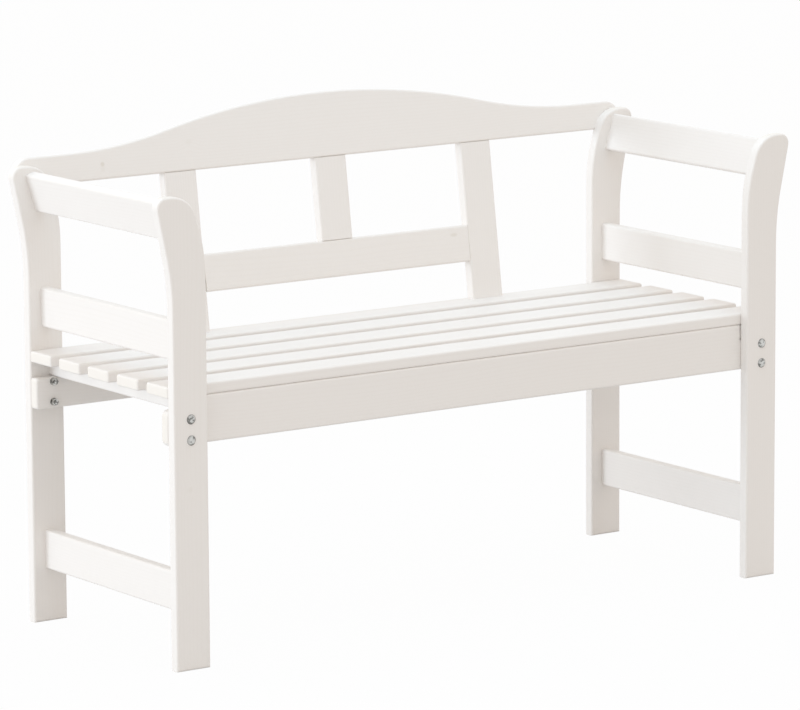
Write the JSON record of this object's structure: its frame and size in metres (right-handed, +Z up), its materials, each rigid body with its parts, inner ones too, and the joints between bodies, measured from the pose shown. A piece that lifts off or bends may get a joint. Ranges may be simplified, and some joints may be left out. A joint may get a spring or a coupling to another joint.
{
  "type": "garden bench",
  "caption": "Slatted garden bench for two with an arched, slightly reclined open back, board posts that scroll outward at the arms, and low side stretchers, painted white.",
  "frame": {"origin": "on the ground, in the middle of the bench's outer box", "axes": "+X along the seat to the right of someone who faces the bench from the front, +Y from the front to the back, +Z up"},
  "size_m": [1.1982, 0.4614, 0.789],
  "materials": {
    "painted_pine": "satin white paint over planed softwood, grain faintly telegraphing",
    "dowel_beech": "bare, glued in",
    "zinc_steel": "dull zinc plate"
  },
  "bodies": {
    "root": {"front_left_post": "painted_pine", "front_right_post": "painted_pine", "rear_left_post": "painted_pine", "rear_right_post": "painted_pine", "left_arm_rail": "painted_pine", "right_arm_rail": "painted_pine", "left_side_rail": "painted_pine", "right_side_rail": "painted_pine", "left_stretcher": "painted_pine", "right_stretcher": "painted_pine", "front_seat_rail": "painted_pine", "rear_seat_rail": "painted_pine", "seat_slat_1": "painted_pine", "seat_slat_2": "painted_pine", "seat_slat_3": "painted_pine", "seat_slat_4": "painted_pine", "seat_slat_5": "painted_pine", "left_seat_bearer": "painted_pine", "middle_seat_bearer": "painted_pine", "right_seat_bearer": "painted_pine", "back_top_rail": "painted_pine", "back_mid_rail": "painted_pine", "back_left_upright": "painted_pine", "back_centre_upright": "painted_pine", "back_right_upright": "painted_pine", "left_frame_dowels": "dowel_beech", "right_frame_dowels": "dowel_beech", "back_dowels": "dowel_beech", "middle_bearer_dowel": "dowel_beech", "frame_bolts": "zinc_steel", "frame_washers": "zinc_steel", "frame_nuts": "zinc_steel", "slat_screws": "zinc_steel", "bearer_screws": "zinc_steel", "back_foot_screws": "zinc_steel", "top_rail_screws": "zinc_steel"}
  },
  "joints": []
}
